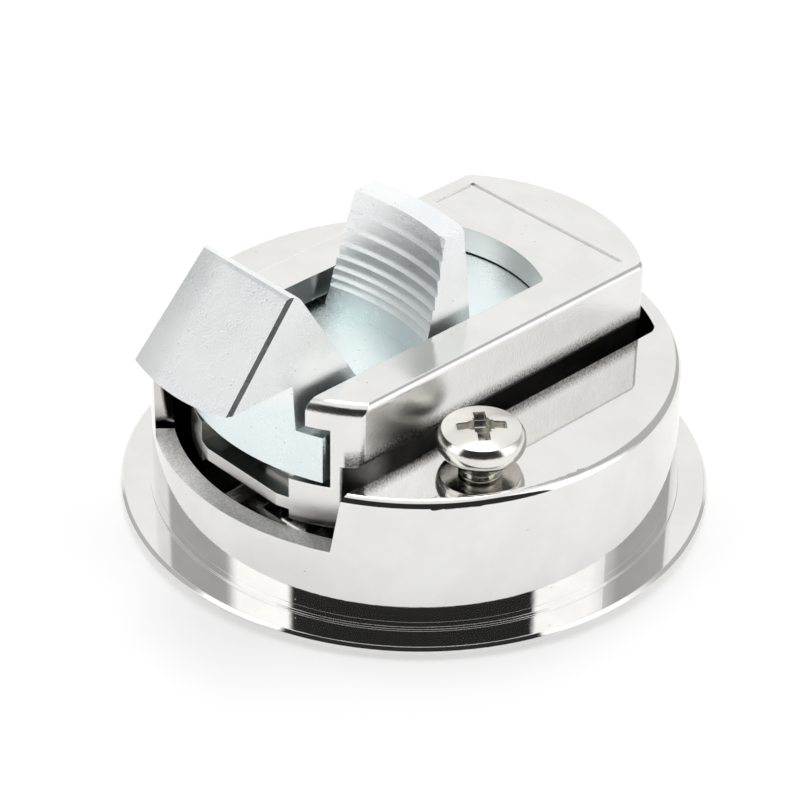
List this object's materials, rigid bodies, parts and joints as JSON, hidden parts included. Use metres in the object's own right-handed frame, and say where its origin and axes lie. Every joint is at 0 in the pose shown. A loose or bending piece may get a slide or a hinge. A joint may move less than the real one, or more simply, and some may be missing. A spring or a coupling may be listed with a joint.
{
  "type": "flush ring pull",
  "caption": "Round flush ring pull with a slam latch: chromed flange and shell, raised U-shaped guide, and a wedge bolt with ribbed thumb tab that a hinged ring in a finger cup draws back.",
  "frame": {"origin": "on the axis of the round body, in the plane of the flange's front face (the part lies face down)", "axes": "+Z from the face to the back of the latch, -Y the way the tongue points, +X to the right seen from behind with the tongue towards the viewer"},
  "size_m": [0.0572, 0.0581, 0.0321],
  "materials": {
    "chrome": "polished chrome on cast metal",
    "zinc": "satin zinc plate, bluish white",
    "steel": "plain steel"
  },
  "bodies": {
    "body": {"bezel": "chrome", "shell": "chrome", "bolt_guide": "chrome", "spring_rods": "steel", "bolt_springs": "steel", "ring_pin": "steel", "ring_spring": "steel", "guide_screws": "steel", "clamp_screw": "steel"},
    "bolt": {"latch_bolt": "zinc"},
    "ring": {"pull_ring": "chrome"}
  },
  "joints": [
    {"name": "ring_hinge", "type": "hinge", "parent": "body", "child": "ring", "pos_m": [0, -0.0124, 0.0056], "axis": [-1, 0, 0], "range_deg": [0, 45.8], "stiffness_Nm_per_rad": 0.052, "springref_deg": -45.26, "deforming": ["ring_spring"]},
    {"name": "bolt_slide", "type": "slide", "parent": "body", "child": "bolt", "axis": [0, 1, 0], "range_m": [0, 0.0082], "deforming": ["bolt_springs"]}
  ],
  "couplings": [
    {"joint": "bolt_slide", "follows": "ring_hinge", "m_per_rad": 0.01025}
  ]
}
